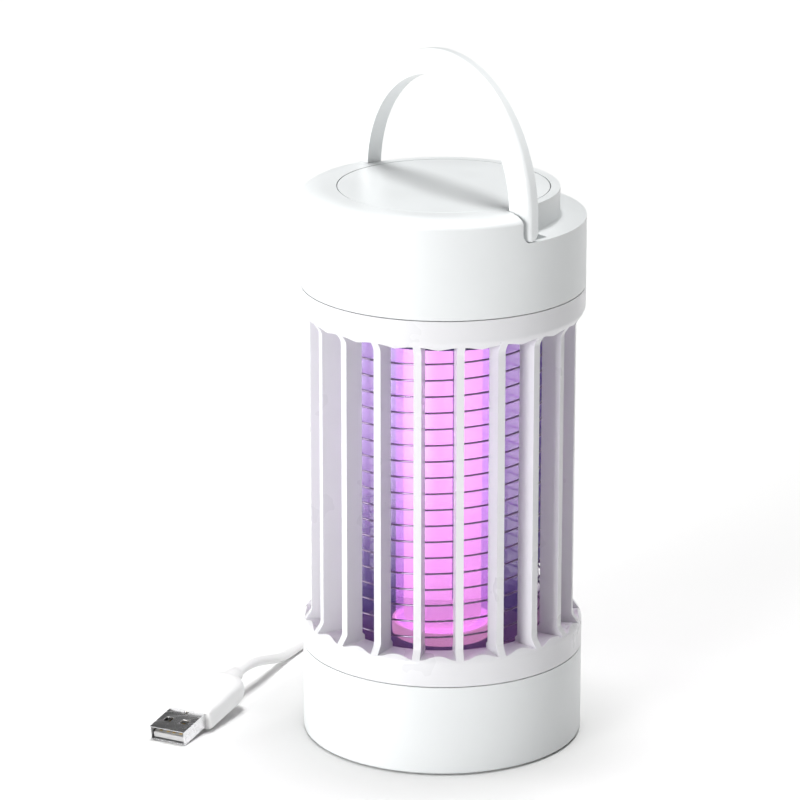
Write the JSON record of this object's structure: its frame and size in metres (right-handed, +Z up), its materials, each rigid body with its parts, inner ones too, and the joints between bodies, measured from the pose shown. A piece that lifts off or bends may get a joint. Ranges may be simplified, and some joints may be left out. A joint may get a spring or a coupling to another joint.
{
  "type": "electric bug zapper",
  "caption": "Round tabletop electric bug zapper: slatted guard round a wire-wound ultraviolet lamp, folding arch handle, twist-off insect tray and USB lead.",
  "frame": {"origin": "centre of the base, on the surface that the lamp stands on", "axes": "+Z up along the lamp's axis, -Y towards the viewer's side, lead leaves the head towards +Y"},
  "size_m": [0.1316, 0.136, 0.2116],
  "materials": {
    "white_abs": "white ABS, satin gloss",
    "grey_nylon": "grey moulded nylon",
    "dark_violet_plastic": "dark, smooth",
    "clear_violet_plastic": "clear, tinted by the lamp",
    "violet_diffuser": "frosted, lit from inside",
    "uv_glass": "lit ultraviolet tube",
    "steel_wire": "drawn wire",
    "plated_steel": "nickel plated",
    "circuit_board": "solder mask",
    "transformer_tape": "taped winding",
    "black_plastic": "moulded",
    "rubber": "soft, matt",
    "white_pvc": "soft PVC, satin"
  },
  "bodies": {
    "lamp_body": {"head_shell": "white_abs", "top_panel": "white_abs", "handle_pin_front": "plated_steel", "handle_pin_back": "plated_steel", "head_floor": "grey_nylon", "guard_cage": "white_abs", "live_wire": "steel_wire", "return_wire": "steel_wire", "grid_bottom_holder": "dark_violet_plastic", "grid_top_holder": "dark_violet_plastic", "grid_rib_1": "clear_violet_plastic", "grid_rib_2": "clear_violet_plastic", "grid_rib_3": "clear_violet_plastic", "grid_rib_4": "clear_violet_plastic", "light_sleeve": "violet_diffuser", "lamp_end_cap": "grey_nylon", "lamp_socket": "grey_nylon", "uv_tube": "uv_glass", "driver_board": "circuit_board", "hv_transformer": "transformer_tape", "hv_capacitor_1": "black_plastic", "hv_capacitor_2": "black_plastic", "switch_body": "grey_nylon", "floor_screw_1": "plated_steel", "floor_screw_2": "plated_steel", "floor_screw_3": "plated_steel", "cage_screw_1": "plated_steel", "cage_screw_2": "plated_steel", "cage_screw_3": "plated_steel", "board_screw_1": "plated_steel", "board_screw_2": "plated_steel", "board_screw_3": "plated_steel", "strain_relief": "white_pvc", "cord": "white_pvc", "cord_lead": "white_pvc", "cord_coil": "white_pvc", "cord_tie": "black_plastic", "usb_shell": "plated_steel", "usb_tongue": "white_abs", "usb_overmould": "white_pvc"},
    "carry_handle": {"handle": "white_abs"},
    "tray": {"insect_tray": "white_abs", "foot_ring": "rubber"},
    "button": {"power_button": "white_abs"}
  },
  "joints": [
    {"name": "handle_fold", "type": "hinge", "parent": "lamp_body", "child": "carry_handle", "pos_m": [0, 0, 0.16524], "axis": [-0.5878, 0.809, 0], "range_deg": [0, 90]},
    {"name": "tray_twist", "type": "hinge", "parent": "lamp_body", "child": "tray", "pos_m": [0, 0, 0], "axis": [0, 0, 1], "range_deg": [0, 20]},
    {"name": "button_press", "type": "slide", "parent": "lamp_body", "child": "button", "axis": [0.5736, -0.8192, 0], "range_m": [0, 0.0015], "stiffness_N_per_m": 600}
  ]
}
